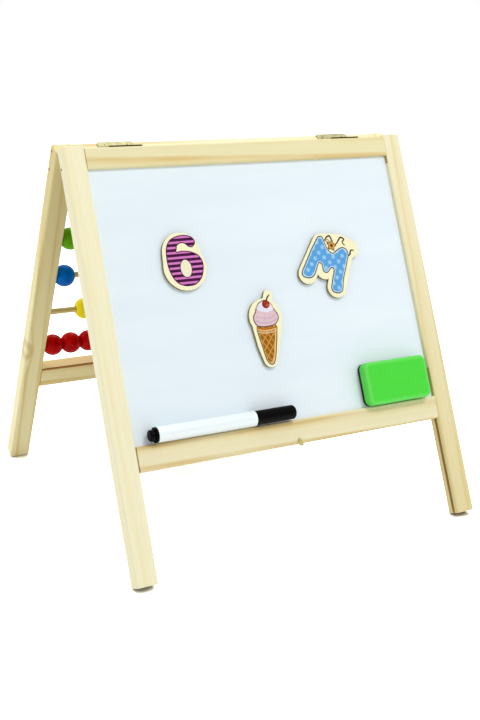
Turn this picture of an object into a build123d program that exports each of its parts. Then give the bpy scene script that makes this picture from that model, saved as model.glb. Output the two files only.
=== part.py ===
from build123d import *
import math
import os

# A tabletop easel for children: two pine frames hinged along the top, a magnetic whiteboard in the
# front frame, bead rods in the rear frame, and a marker, an eraser and three picture magnets.
# Sizes are millimetres. X runs to the right, Y to the back and Z up; the feet stand on Z = 0.
# Each frame is drawn folded flat, upright and with the hinge axis on the X axis, and is then swung
# open about that axis. "drop" is a distance down from the top of a frame, "out" a distance outwards
# from its inner face.

# Frames
easel_width = 310.0
stile_length = 328.0
lean_angle = 24.7
stile_width = 17.5
stock_thickness = 12.5
edge_round = 1.8
end_round = 1.0
front_top_rail_height = 17.0
rear_top_rail_height = 28.0
front_bottom_rail_height = 19.3
rear_bottom_rail_height = 20.5
front_rail_drop = 228.0
rear_rail_drop = 222.2
front_stile_horn = 1.7
front_rail_end_gap = 0.6
folded_gap = 0.5

# Whiteboard and the groove that holds it
groove_setback = 3.4
groove_width = 3.2
groove_depth = 5.0
sheet_thickness = 0.5
backing_thickness = 2.5
board_edge_play = 0.5

# Nails through the stiles into the ends of the top rails
nail_diameter = 1.4
nail_length = 32.0
nail_head_diameter = 2.1
nail_head_thickness = 0.6
front_nail_drops = [14.0]
rear_nail_drops = [3.8, 19.6]
front_nail_out = 3.4
rear_nail_out = 8.6
fixing_clearance = 0.02

# Glued dowels, hidden in the joints between the stiles and the bottom rails
dowel_diameter = 4.0
dowel_length = 16.0
dowel_inset = 5.5
front_dowel_out = 3.2
rear_dowel_out = 6.2

# Butt hinges on the top edges
hinge_length = 30.0
hinge_offset = 101.0
hinge_shift = -2.5
knuckle_diameter = 4.6
end_knuckle_length = 8.0
knuckle_gap = 0.2
leaf_width = 11.8
leaf_thickness = 1.0
leaf_corner = 2.0
leaf_clearance = 0.4
pin_diameter = 2.4
pin_clearance = 0.05
pin_head_diameter = 3.8
pin_head_thickness = 0.8
screw_spacing = 19.0
screw_out = 6.8
screw_diameter = 2.5
screw_length = 10.0
screw_head_diameter = 4.4
screw_slot_width = 0.7
screw_slot_depth = 0.5

# Bead rows of the rear frame, counted from the lowest
row_names = ["red", "yellow", "blue", "green", "top"]
left_counts = [6, 4, 1, 3, 5]
left_starts = [0.2, 24.2, 0.2, 0.2, 0.2]
beads_in_row = 10
lowest_row_drop = 199.5
row_pitch = 37.9
rod_diameter = 5.0
rod_socket_depth = 8.0
bead_diameter = 18.6
bead_shortening = 2.0
bead_bore = 5.6
bead_end_gap = 0.2

# Marker on the ledge of the front frame
marker_left = -127.1
marker_diameter = 12.0
plug_knob_length = 4.4
plug_knob_diameter = 8.8
plug_knob_round = 1.3
plug_flange_length = 1.8
plug_spigot_length = 6.0
barrel_length = 83.0
barrel_wall = 1.2
barrel_floor = 3.0
core_diameter = 8.4
neck_diameter = 9.2
neck_length = 14.0
nose_length = 8.0
nib_diameter = 4.2
nib_length = 7.0
nib_depth = 6.0
cap_length = 36.1
cap_step = 0.35
cap_clearance = 0.3
cap_end_wall = 2.0
cap_end_round = 2.5
rest_gap = 0.3
fit_clearance = 0.03

# Eraser on the ledge
eraser_left = 67.6
eraser_width = 62.0
eraser_height = 35.4
foam_thickness = 8.6
felt_thickness = 3.2
eraser_corner = 5.5
eraser_edge_round = 2.2
eraser_rest_gap = 0.2

# Picture magnets: thin wood cut-outs with a disc magnet let into the back
cutout_thickness = 3.0
magnet_diameter = 10.0
magnet_thickness = 1.5
magnet_clearance = 0.05
six_place = (-71.8, 93.4)
cone_place = (-10.4, 153.4)
letter_place = (57.8, 107.8)

# Stay cord between the bottom rails
cord_diameter = 2.2
cord_hole_diameter = 2.8
front_cord_hole_height = 3.1
rear_cord_hole_height = 4.0
cord_end_gap = 0.4
knot_width = 5.0
knot_height = 4.4
knot_depth = 3.8
knot_droop = 2.6
cord_route = [
    (0, -103.0, 75.7),
    (0, -80.7, 67.7),
    (0, -42.0, 58.8),
    (0, -1.1, 56.3),
    (0, 39.7, 60.8),
    (0, 78.4, 71.6),
    (0, 100.7, 80.7),
]

# Values that follow from the sizes above
front = -1
rear = 1
half_width = easel_width / 2
inner_half = half_width - stile_width
inner_width = 2 * inner_half
hinge_rise = knuckle_diameter / 2
hinge_middles = (hinge_shift - hinge_offset, hinge_shift + hinge_offset)
lean = math.radians(lean_angle)
foot_z = -(hinge_rise + stile_length)
toe_depth = (folded_gap / 2 + end_round) * math.sin(lean) + (foot_z + end_round) * math.cos(lean)
hinge_height = end_round - toe_depth
groove_out = stock_thickness - groove_setback - groove_width / 2
board_thickness = sheet_thickness + backing_thickness
board_face_out = groove_out + board_thickness / 2
bead_length = bead_diameter - bead_shortening
cap_diameter = marker_diameter - 2 * cap_step
row_drops = [lowest_row_drop - row_pitch * row for row in range(len(row_names))]
bottom_rail_heights = {front: front_bottom_rail_height, rear: rear_bottom_rail_height}
bottom_rail_drops = {front: front_rail_drop, rear: rear_rail_drop}
cord_hole_drops = {
    front: front_rail_drop + front_bottom_rail_height - front_cord_hole_height,
    rear: rear_rail_drop + rear_bottom_rail_height - rear_cord_hole_height,
}
opened = {
    front: Pos(0, 0, hinge_height) * Rot(-lean_angle, 0, 0),
    rear: Pos(0, 0, hinge_height) * Rot(lean_angle, 0, 0),
}
along_x = Rot(0, 90, 0)
parts = {}


def keep(name, side, *solids):
    """Swings solids drawn folded flat open with their frame and keeps them as one named part."""
    placed = [opened[side] * solid for solid in solids]
    parts[name] = placed[0] if len(placed) == 1 else Compound(children=placed)


def at(side, x, out, drop):
    """A place on a folded frame."""
    return Pos(x, side * (folded_gap / 2 + out), -hinge_rise - drop)


def face_plane(x, out, drop):
    """A plane parallel to the front face, with its X to the right and its Y up the frame."""
    origin = at(front, x, out, drop).position
    return Plane(origin=origin, x_dir=(1, 0, 0), z_dir=(0, -1, 0))


def nail_places(side):
    """Every nail of a frame, as the side of the easel it goes into and its drop."""
    drops = front_nail_drops if side == front else rear_nail_drops
    return [(hand, drop) for hand in (-1, 1) for drop in drops]


def nail_shape(side, hand, drop, clearance):
    """A nail driven in through a stile's outer side, or the hole for it."""
    out = front_nail_out if side == front else rear_nail_out
    shank = Cylinder(nail_diameter / 2 + clearance, nail_length)
    shank_x = hand * (half_width - nail_length / 2)
    head = Cylinder(nail_head_diameter / 2 + clearance, nail_head_thickness)
    head_x = hand * (half_width - nail_head_thickness / 2)
    return at(side, shank_x, out, drop) * along_x * shank + at(side, head_x, out, drop) * along_x * head


def dowel_places(side):
    """Every dowel of a frame, as the side of the easel it is on and its drop."""
    top = bottom_rail_drops[side]
    drops = [top + dowel_inset, top + bottom_rail_heights[side] - dowel_inset]
    return [(hand, drop) for hand in (-1, 1) for drop in drops]


def dowel_shape(side, hand, drop, clearance):
    """A dowel lying half in a stile and half in a bottom rail, or the hole for it."""
    out = front_dowel_out if side == front else rear_dowel_out
    dowel = Cylinder(dowel_diameter / 2 + clearance, dowel_length + 2 * clearance)
    return at(side, hand * inner_half, out, drop) * along_x * dowel


def cut_fixing_holes(solid, side, hands=(-1, 1)):
    """A stile or rail with the holes for its frame's nails and dowels."""
    for hand, drop in nail_places(side):
        if hand in hands:
            solid -= nail_shape(side, hand, drop, fixing_clearance)
    for hand, drop in dowel_places(side):
        if hand in hands:
            solid -= dowel_shape(side, hand, drop, fixing_clearance)
    return solid


def make_stile(side, hand):
    """One upright, with the board's groove in front or the rod sockets in the rear.

    The front uprights stand a little above the rail between them.
    """
    horn = front_stile_horn if side == front else 0
    bar = Box(stile_width, stock_thickness, stile_length + horn)
    bar = fillet(bar.edges().filter_by(Axis.Z), edge_round)
    for end in (-1, 0):
        bar = fillet(bar.faces().sort_by(Axis.Z)[end].edges(), end_round)
    middle_drop = (stile_length - horn) / 2
    bar = at(side, hand * (half_width - stile_width / 2), stock_thickness / 2, middle_drop) * bar
    if side == front:
        groove = Box(groove_depth, groove_width, stile_length)
        groove_x = hand * (inner_half + groove_depth / 2)
        bar -= at(side, groove_x, groove_out, stile_length / 2) * groove
    else:
        socket = Cylinder(rod_diameter / 2 + fixing_clearance, rod_socket_depth)
        socket_x = hand * (inner_half + rod_socket_depth / 2)
        for drop in row_drops:
            bar -= at(side, socket_x, stock_thickness / 2, drop) * along_x * socket
    return cut_fixing_holes(bar, side, hands=(hand,))


def rail_bar(side, height, drop, end_gap=0.0):
    """A plain rail between the stiles; end_gap is an open joint at its left end."""
    bar = Box(inner_width - end_gap, stock_thickness, height)
    bar = fillet(bar.edges().filter_by(Axis.X), edge_round)
    return at(side, end_gap / 2, stock_thickness / 2, drop + height / 2) * bar


def board_groove(edge_drop, depth_sign):
    """The groove along a front rail's edge that faces the board."""
    groove = Box(easel_width, groove_width, groove_depth)
    return at(front, 0, groove_out, edge_drop + depth_sign * groove_depth / 2) * groove


def screw_places():
    """The X of every hinge screw of one leaf row."""
    return [middle + step * screw_spacing / 2 for middle in hinge_middles for step in (-1, 1)]


def screw_shape(side, x, clearance):
    """A countersunk screw down through a leaf into a rail, or the hole for it."""
    top_drop = -leaf_thickness
    shank_radius = screw_diameter / 2 + clearance
    head_radius = screw_head_diameter / 2 + clearance
    shank_length = screw_length + clearance
    shank = at(side, x, screw_out, top_drop + shank_length / 2) * Cylinder(shank_radius, shank_length)
    head = at(side, x, screw_out, top_drop / 2) * Cone(shank_radius, head_radius, leaf_thickness)
    return shank + head


def make_top_rail(side):
    """A top rail with the pilot holes of its hinge screws."""
    height = front_top_rail_height if side == front else rear_top_rail_height
    bar = rail_bar(side, height, 0)
    if side == front:
        bar -= board_groove(height, -1)
    for x in screw_places():
        bar -= screw_shape(side, x, fixing_clearance)
    return cut_fixing_holes(bar, side)


def cord_hole(side):
    """The hole through a bottom rail for the stay cord."""
    hole = Rot(90, 0, 0) * Cylinder(cord_hole_diameter / 2, 3 * stock_thickness)
    return at(side, 0, stock_thickness / 2, cord_hole_drops[side]) * hole


def make_bottom_rail(side):
    """A bottom rail with its cord hole; the front one is the ledge under the board."""
    end_gap = front_rail_end_gap if side == front else 0
    bar = rail_bar(side, bottom_rail_heights[side], bottom_rail_drops[side], end_gap)
    if side == front:
        bar -= board_groove(front_rail_drop, 1)
    return cut_fixing_holes(bar - cord_hole(side), side)


def board_layer(thickness, middle_out):
    """One full-size layer of the board, held by the grooves on all four sides."""
    reach = groove_depth - board_edge_play
    width = inner_width + 2 * reach
    top = front_top_rail_height - reach
    bottom = front_rail_drop + reach
    return at(front, 0, middle_out, (top + bottom) / 2) * Box(width, thickness, bottom - top)


def knuckle_spans(side):
    """Middle X and length of each knuckle that a leaf carries, from the hinge's middle."""
    end_middle = hinge_length / 2 - end_knuckle_length / 2
    if side == front:
        return [(-end_middle, end_knuckle_length), (end_middle, end_knuckle_length)]
    return [(0, hinge_length - 2 * end_knuckle_length - 2 * knuckle_gap)]


def make_leaf(side, middle):
    """A hinge leaf lying on a top rail, with its knuckles on the hinge axis."""
    knuckle_radius = knuckle_diameter / 2
    plate = Box(hinge_length, leaf_width, leaf_thickness)
    plate = fillet(plate.edges().filter_by(Axis.Z).sort_by(Axis.Y)[-2:], leaf_corner)
    plate_z = -hinge_rise + leaf_thickness / 2
    leaf = Pos(0, leaf_width / 2, plate_z) * plate
    if side == front:
        leaf = Rot(0, 0, 180) * leaf
    for x, length in knuckle_spans(-side):
        relief = Cylinder(knuckle_radius + leaf_clearance, length + 2 * knuckle_gap)
        leaf -= Pos(x, 0, 0) * along_x * relief
    for x, length in knuckle_spans(side):
        leaf += Pos(x, 0, 0) * along_x * Cylinder(knuckle_radius, length)
    leaf -= along_x * Cylinder(pin_diameter / 2 + pin_clearance, 2 * hinge_length)
    leaf = Pos(middle, 0, 0) * leaf
    for x in screw_places():
        leaf -= screw_shape(side, x, fixing_clearance)
    return leaf


def make_pin(middle):
    """A hinge pin with a button head at each end."""
    pin = along_x * Cylinder(pin_diameter / 2, hinge_length + 2 * pin_head_thickness)
    for hand in (-1, 1):
        head = Cylinder(pin_head_diameter / 2, pin_head_thickness)
        pin += Pos(hand * (hinge_length + pin_head_thickness) / 2, 0, 0) * along_x * head
    return Pos(middle, 0, 0) * pin


def make_screw(side, x):
    """A slotted hinge screw."""
    slot = Box(screw_slot_width, screw_head_diameter, 2 * screw_slot_depth)
    return screw_shape(side, x, 0) - at(side, x, screw_out, -leaf_thickness) * slot


def make_bead():
    """A round bead bored along X, with small flats where it meets its neighbours."""
    ball = Sphere(bead_diameter / 2) & Box(bead_length, bead_diameter, bead_diameter)
    return ball - along_x * Cylinder(bead_bore / 2, bead_diameter)


def bead_group(drop, first_x, count):
    """Neighbouring beads of one row, from the middle of the first one to the right."""
    bead = make_bead()
    return [at(rear, first_x + bead_length * n, stock_thickness / 2, drop) * bead for n in range(count)]


def make_rows():
    """The rods and the two bead groups of each row."""
    rod = along_x * Cylinder(rod_diameter / 2, inner_width + 2 * rod_socket_depth)
    for name, drop, count, start in zip(row_names, row_drops, left_counts, left_starts):
        keep(f"{name}_row_rod", rear, at(rear, 0, stock_thickness / 2, drop) * rod)
        left_x = -inner_half + start + bead_length / 2
        keep(f"{name}_beads_left", rear, *bead_group(drop, left_x, count))
        right_count = beads_in_row - count
        right_x = inner_half - bead_end_gap - bead_length * (right_count - 0.5)
        keep(f"{name}_beads_right", rear, *bead_group(drop, right_x, right_count))


def turned(outline):
    """A round piece about the X axis, from the outline of its half section in X and radius."""
    return revolve(make_face(Polyline(*outline, close=True)), Axis.X)


def make_marker():
    """The marker's barrel, plug, ink core, neck, nib and cap, drawn from its left tip along X."""
    radius = marker_diameter / 2
    flange_x = plug_knob_length
    barrel_x = flange_x + plug_flange_length
    shoulder_x = barrel_x + barrel_length
    bore_radius = radius - barrel_wall
    spigot_radius = bore_radius - fit_clearance
    neck_radius = neck_diameter / 2
    nose_x = shoulder_x + neck_length
    nib_radius = nib_diameter / 2
    cap_bore = neck_radius + cap_clearance
    plug = turned([
        (0, 0),
        (0, plug_knob_diameter / 2),
        (flange_x, plug_knob_diameter / 2),
        (flange_x, radius),
        (barrel_x, radius),
        (barrel_x, spigot_radius),
        (barrel_x + plug_spigot_length, spigot_radius),
        (barrel_x + plug_spigot_length, 0),
    ])
    plug = fillet(plug.edges().filter_by(GeomType.CIRCLE).sort_by(Axis.X)[0], plug_knob_round)
    barrel = turned([
        (barrel_x, bore_radius),
        (barrel_x, radius),
        (shoulder_x, radius),
        (shoulder_x, 0),
        (shoulder_x - barrel_floor, 0),
        (shoulder_x - barrel_floor, bore_radius),
    ])
    core_start = barrel_x + plug_spigot_length
    core_end = shoulder_x - barrel_floor
    core = along_x * Cylinder(core_diameter / 2, core_end - core_start)
    core = Pos((core_start + core_end) / 2, 0, 0) * core
    neck = turned([
        (shoulder_x, 0),
        (shoulder_x, neck_radius),
        (nose_x, neck_radius),
        (nose_x + nose_length, nib_radius + barrel_wall),
        (nose_x + nose_length, nib_radius + fit_clearance),
        (nose_x + nose_length - nib_depth, nib_radius + fit_clearance),
        (nose_x + nose_length - nib_depth, 0),
    ])
    nib_start = nose_x + nose_length - nib_depth
    nib_end = nose_x + nose_length + nib_length - nib_radius
    nib = Pos((nib_start + nib_end) / 2, 0, 0) * along_x * Cylinder(nib_radius, nib_end - nib_start)
    nib += Pos(nib_end, 0, 0) * Sphere(nib_radius)
    cap = along_x * Cylinder(cap_diameter / 2, cap_length)
    cap = fillet(cap.edges().sort_by(Axis.X)[-1:], cap_end_round)
    cap = Pos(shoulder_x + cap_length / 2, 0, 0) * cap
    hollow = along_x * Cylinder(cap_bore, cap_length - cap_end_wall)
    cap -= Pos(shoulder_x + (cap_length - cap_end_wall) / 2, 0, 0) * hollow
    pieces = {
        "marker_barrel": barrel,
        "marker_end_plug": plug,
        "marker_ink_core": core,
        "marker_neck": neck,
        "marker_nib": nib,
        "marker_cap": cap,
    }
    place = at(front, marker_left, board_face_out + rest_gap + radius, front_rail_drop - rest_gap - radius)
    for name, solid in pieces.items():
        keep(name, front, place * solid)


def make_eraser():
    """A foam block with rounded front edges on a felt pad that lies against the board."""
    middle_x = eraser_left + eraser_width / 2
    middle_drop = front_rail_drop - eraser_rest_gap - eraser_height / 2
    outline = RectangleRounded(eraser_width, eraser_height, eraser_corner)
    felt = extrude(face_plane(middle_x, board_face_out, middle_drop) * outline, felt_thickness)
    foam = extrude(face_plane(middle_x, board_face_out + felt_thickness, middle_drop) * outline, foam_thickness)
    foam = fillet(foam.faces().sort_by(Axis.Y)[0].edges(), eraser_edge_round)
    keep("eraser_felt_pad", front, felt)
    keep("eraser_foam_block", front, foam)


def blob(*circles):
    """The tight outline round circles given as X, Y and radius."""
    rings = [Pos(x, y) * Circle(radius) for x, y, radius in circles]
    if len(rings) == 1:
        return rings[0]
    return make_hull(ShapeList(edge for ring in rings for edge in ring.edges()))


def six_outline():
    """The border of the figure six: a small round head on a larger round bowl."""
    return blob((-1.0, 6.5, 16.3)) + blob((0, -4.8, 18.3)) + blob((-1.0, 6.5, 16.3), (-8.0, -6.0, 10.3))


def cone_outline():
    """The border of the ice cream: a cherry stalk, a scoop and a tapering cone."""
    stalk = blob((6.2, 26.9, 3.8), (4.0, 18.0, 5.0))
    scoop = blob((0.7, 9.6, 14.7))
    wafer = blob((0.8, 1.5, 13.1), (-0.8, -12.0, 10.0), (-1.6, -24.6, 6.2))
    return stalk + scoop + wafer


def letter_outline():
    """The border of the letter M: two slanting legs, a short middle and a rounded top."""
    left_leg = blob((-3.4, 18.4, 8.4), (-21.3, -5.4, 8.4))
    right_leg = blob((15.2, 5.0, 8.9), (4.2, -18.7, 8.9))
    middle = blob((-3.4, 18.4, 8.4), (19.0, 10.0, 8.5), (-4.3, -3.5, 8.0))
    crown = blob((-2.6, 19.2, 8.0), (13.6, 17.0, 8.6), (24.6, 12.0, 7.6))
    return left_leg + right_leg + middle + crown


def make_magnet(name, outline, place):
    """A wood cut-out lying on the board, with a disc magnet flush in its back."""
    x, drop = place
    back = face_plane(x, board_face_out, drop)
    body = extrude(back * outline, cutout_thickness)
    recess = extrude(back * Circle(magnet_diameter / 2 + magnet_clearance), magnet_thickness + magnet_clearance)
    disc = extrude(back * Circle(magnet_diameter / 2), magnet_thickness)
    keep(f"{name}_cutout", front, body - recess)
    keep(f"{name}_disc_magnet", front, disc)


def make_knot(side):
    """A stop knot on a bottom rail's outer face, with the cord's end inside the rail's hole."""
    hole_drop = cord_hole_drops[side]
    ball = scale(Sphere(knot_width / 2), (1, knot_depth / knot_width, knot_height / knot_width))
    ball = at(side, 0, stock_thickness + knot_depth / 2, hole_drop + knot_droop) * ball
    reach = stock_thickness + knot_depth / 2 - cord_end_gap
    tail = Rot(90, 0, 0) * Cylinder(cord_diameter / 2, reach)
    return ball + at(side, 0, cord_end_gap + reach / 2, hole_drop) * tail


def make_cord():
    """The free stretch of the stay cord: straight runs joined by the largest arcs they allow."""
    points = [Vector(*point) for point in cord_route]
    radii = []
    for before, corner, after in zip(points, points[1:], points[2:]):
        half_turn = math.radians((corner - before).get_angle(after - corner)) / 2
        shorter = min((corner - before).length, (after - corner).length)
        radii.append(0.45 * shorter / math.tan(half_turn))
    print("stay cord arc radii:", [round(radius, 1) for radius in radii])
    path = FilletPolyline(*points, radius=radii)
    section = Plane(origin=points[0], z_dir=points[1] - points[0]) * Circle(cord_diameter / 2)
    cord = sweep(section, path)
    print("stay cord length %.1f, volume %.1f of %.1f" % (
        path.length, cord.volume, path.length * math.pi * cord_diameter ** 2 / 4))
    return cord


def make_frames():
    """The wood, board, nails and hinges of both frames."""
    for side, name in ((front, "front"), (rear, "rear")):
        keep(f"{name}_left_stile", side, make_stile(side, -1))
        keep(f"{name}_right_stile", side, make_stile(side, 1))
        keep(f"{name}_top_rail", side, make_top_rail(side))
        keep(f"{name}_bottom_rail", side, make_bottom_rail(side))
        keep(f"{name}_frame_nails", side, *[nail_shape(side, hand, d, 0) for hand, d in nail_places(side)])
        keep(f"{name}_rail_dowels", side, *[dowel_shape(side, hand, d, 0) for hand, d in dowel_places(side)])
        keep(f"left_hinge_{name}_leaf", side, make_leaf(side, hinge_middles[0]))
        keep(f"right_hinge_{name}_leaf", side, make_leaf(side, hinge_middles[1]))
        keep(f"{name}_hinge_screws", side, *[make_screw(side, x) for x in screw_places()])
        keep(f"{name}_cord_knot", side, make_knot(side))
    keep("left_hinge_pin", front, make_pin(hinge_middles[0]))
    keep("right_hinge_pin", front, make_pin(hinge_middles[1]))
    keep("whiteboard_sheet", front, board_layer(sheet_thickness, board_face_out - sheet_thickness / 2))
    backing_middle = board_face_out - sheet_thickness - backing_thickness / 2
    keep("board_backing", front, board_layer(backing_thickness, backing_middle))


make_frames()
make_rows()
make_marker()
make_eraser()
make_magnet("six", six_outline(), six_place)
make_magnet("ice_cream", cone_outline(), cone_place)
make_magnet("letter", letter_outline(), letter_place)
parts["stay_cord"] = make_cord()

os.makedirs("parts", exist_ok=True)
for part_name, part_solid in parts.items():
    export_step(part_solid, f"parts/{part_name}.step")
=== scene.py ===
import logging
import math
from dataclasses import dataclass, field
from enum import Enum

import bmesh
import bpy
import numpy as np
from mathutils import Matrix, Vector


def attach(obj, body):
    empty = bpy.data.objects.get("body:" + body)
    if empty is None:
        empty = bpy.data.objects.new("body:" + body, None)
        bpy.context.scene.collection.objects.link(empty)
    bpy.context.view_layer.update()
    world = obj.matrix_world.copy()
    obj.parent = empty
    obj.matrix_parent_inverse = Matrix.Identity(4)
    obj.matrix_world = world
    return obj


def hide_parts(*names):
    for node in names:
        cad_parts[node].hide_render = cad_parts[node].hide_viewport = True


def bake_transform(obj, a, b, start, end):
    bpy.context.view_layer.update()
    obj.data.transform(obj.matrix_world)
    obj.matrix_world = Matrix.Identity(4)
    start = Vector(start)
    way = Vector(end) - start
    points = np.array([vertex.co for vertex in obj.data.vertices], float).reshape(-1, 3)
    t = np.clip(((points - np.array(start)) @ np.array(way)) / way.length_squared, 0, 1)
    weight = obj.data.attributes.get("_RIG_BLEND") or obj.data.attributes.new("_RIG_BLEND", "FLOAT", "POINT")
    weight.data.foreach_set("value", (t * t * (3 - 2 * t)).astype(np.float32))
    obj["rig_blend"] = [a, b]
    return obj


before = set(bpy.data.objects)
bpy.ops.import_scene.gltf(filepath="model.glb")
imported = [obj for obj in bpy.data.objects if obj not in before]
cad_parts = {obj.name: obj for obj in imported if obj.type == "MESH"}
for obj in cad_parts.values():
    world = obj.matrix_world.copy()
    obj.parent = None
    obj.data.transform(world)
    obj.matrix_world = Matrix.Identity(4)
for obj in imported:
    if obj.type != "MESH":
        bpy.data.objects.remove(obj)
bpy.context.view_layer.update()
LOG = logging.getLogger("easel")
MM = 0.001
Material = bpy.types.Material
Tree = bpy.types.NodeTree
Socket = bpy.types.NodeSocket
Pair = tuple[float, float]
Triple = tuple[float, float, float]
# settings of a Mix node that mixes two colours, and of one that multiplies them
BLEND = {"out": 2, "data_type": "RGBA"}
TINT = {**BLEND, "blend_type": "MULTIPLY"}


class Side(Enum):
    """The two hinged frames; the value is the direction of a frame's outer face along Y."""

    FRONT = -1
    REAR = 1


class Motif(Enum):
    """How a screen ink lays its two colours."""

    PLAIN = "plain"
    STRIPES = "stripes"
    DOTS = "dots"
    LATTICE = "lattice"


class Run(Enum):
    """Which way a timber's grain runs on a folded frame; the value masks the cross-section."""

    STILE = (1.0, 1.0, 0.0)
    RAIL = (0.0, 1.0, 1.0)

    def grain(self) -> Triple:
        """The direction of the grain."""
        return tuple(1.0 - c for c in self.value)

    def reach(self) -> Pair:
        """Where a timber starts and ends along its grain, in metres."""
        return (0.0, -0.32) if self is Run.STILE else (-0.15, 0.15)


@dataclass(frozen=True)
class Stance:
    """How the frames stand, and the layers on them. Sizes are millimetres and the lean is in radians."""

    lean: float = math.radians(24.7)
    hinge_height: float = 299.649
    hinge_rise: float = 2.3
    half_gap: float = 0.25
    stock: float = 12.5
    board_face: float = 9.0
    cutout: float = 3.0

    def turn(self, side: Side) -> float:
        """The angle about X that swings a folded frame open."""
        return side.value * self.lean

    def place(self, side: Side, x: np.ndarray, out: np.ndarray, drop: np.ndarray) -> np.ndarray:
        """Carries places on a frame into the easel's own frame.

        The folded frame has its hinge axis on X. A place is turned about that axis by the lean and
        lifted by the hinge's height: Y' = y cos a - z sin a, Z' = y sin a + z cos a + height.

        Args:
            side: The frame the places are on.
            x: Millimetres to the right of the middle.
            out: Millimetres outwards from the frame's inner face.
            drop: Millimetres down from the frame's top.

        Returns:
            Points in metres, with the three coordinates last.
        """
        x, out, drop = np.broadcast_arrays(np.asarray(x, float), out, drop)
        y = side.value * (self.half_gap + out)
        z = -self.hinge_rise - drop
        cosine, sine = math.cos(self.turn(side)), math.sin(self.turn(side))
        return np.stack([x, y * cosine - z * sine, y * sine + z * cosine + self.hinge_height], axis=-1) * MM

    def unfolding(self, side: Side) -> tuple[Triple, Triple]:
        """Rotation and location of a Mapping node that folds a frame's points back upright.

        Args:
            side: The frame.

        Returns:
            The rotation in radians and the location in metres.
        """
        back = Matrix.Rotation(-self.turn(side), 3, "X")
        shift = -(back @ Vector((0, 0, self.hinge_height * MM)))
        return (-self.turn(side), 0.0, 0.0), tuple(shift)


STANCE = Stance()


def hex_linear(code: str) -> tuple[float, float, float, float]:
    """Turns an sRGB hex colour such as '#E8F4FA' into linear RGBA."""
    channels = [int(code[i:i + 2], 16) / 255 for i in (1, 3, 5)]
    return tuple(c / 12.92 if c <= 0.04045 else ((c + 0.055) / 1.055) ** 2.4 for c in channels) + (1.0,)


def fill(tree: Tree, node: bpy.types.Node, inputs: dict) -> None:
    """Sets or links a node's inputs.

    Args:
        tree: The node's tree.
        node: The node.
        inputs: Socket name or number to a value, or to an output socket to link from.
    """
    for key, value in inputs.items():
        if isinstance(value, Socket):
            tree.links.new(value, node.inputs[key])
        else:
            node.inputs[key].default_value = value


def add(tree: Tree, kind: str, inputs: dict, out: int | str = 0, stops: tuple = (), **settings) -> Socket:
    """Adds one shader node.

    Args:
        tree: The tree that gets the node.
        kind: The node's type, without the ShaderNode that every type starts with.
        inputs: Socket name or number to a value, or to an output socket to link from.
        out: Name or number of the output that is wanted.
        stops: Positions and hex colours, for a colour ramp.
        **settings: Other properties of the node.

    Returns:
        The wanted output.
    """
    made = tree.nodes.new(f"ShaderNode{kind}")
    for key, value in settings.items():
        setattr(made, key, value)
    for number, (position, code) in enumerate(stops):
        points = made.color_ramp.elements
        point = points[number] if number < 2 else points.new(position)
        point.position, point.color = position, hex_linear(code)
    fill(tree, made, inputs)
    return made.outputs[out]


def blank(name: str) -> tuple[Material, Tree]:
    """Starts a material.

    Args:
        name: The material's name.

    Returns:
        The material and its node tree.
    """
    made = bpy.data.materials.new(name)
    made.use_nodes = True
    return made, made.node_tree


def coat(made: Material, inputs: dict) -> Material:
    """Gives a material's Principled shader its inputs, by socket name, and returns the material."""
    fill(made.node_tree, made.node_tree.nodes["Principled BSDF"], inputs)
    return made


def object_space(tree: Tree, side: Side | None = None, scale: Triple = (1.0, 1.0, 1.0)) -> Socket:
    """Object coordinates.

    Args:
        tree: The tree that gets the nodes.
        side: The frame whose places are wanted as they are when it hangs folded, if any.
        scale: What the coordinates are multiplied by.

    Returns:
        The coordinates.
    """
    inputs = {"Vector": add(tree, "TexCoord", {}, "Object"), "Scale": scale}
    if side is not None:
        inputs["Rotation"], inputs["Location"] = STANCE.unfolding(side)
    return add(tree, "Mapping", inputs)


@dataclass(frozen=True)
class Place:
    """A box on a folded frame, in millimetres, where the wood takes a colour of its own, mostly painted shade
    or painted light.
    """

    low: Triple
    high: Triple
    colour: str

    def mask(self, tree: Tree, folded: Socket) -> Socket:
        """Tells the box from the rest: inside, no distance from its middle is over half its size.

        Args:
            tree: The material's node tree.
            folded: Places on the folded frame.

        Returns:
            1 inside the box, 0 outside.
        """
        low, high = np.array(self.low) * MM, np.array(self.high) * MM
        gap = add(tree, "VectorMath", {0: folded, 1: tuple((low + high) / 2)}, operation="SUBTRACT")
        gap = add(tree, "VectorMath", {0: gap, 1: tuple(2 / (high - low))}, operation="MULTIPLY")
        gap = add(tree, "VectorMath", {0: gap}, operation="ABSOLUTE")
        sides = add(tree, "SeparateXYZ", {0: gap}).node.outputs
        most = add(tree, "Math", {0: sides["X"], 1: sides["Y"]}, operation="MAXIMUM")
        most = add(tree, "Math", {0: most, 1: sides["Z"]}, operation="MAXIMUM")
        return add(tree, "Math", {0: most, 1: 1.0}, operation="LESS_THAN")


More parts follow.
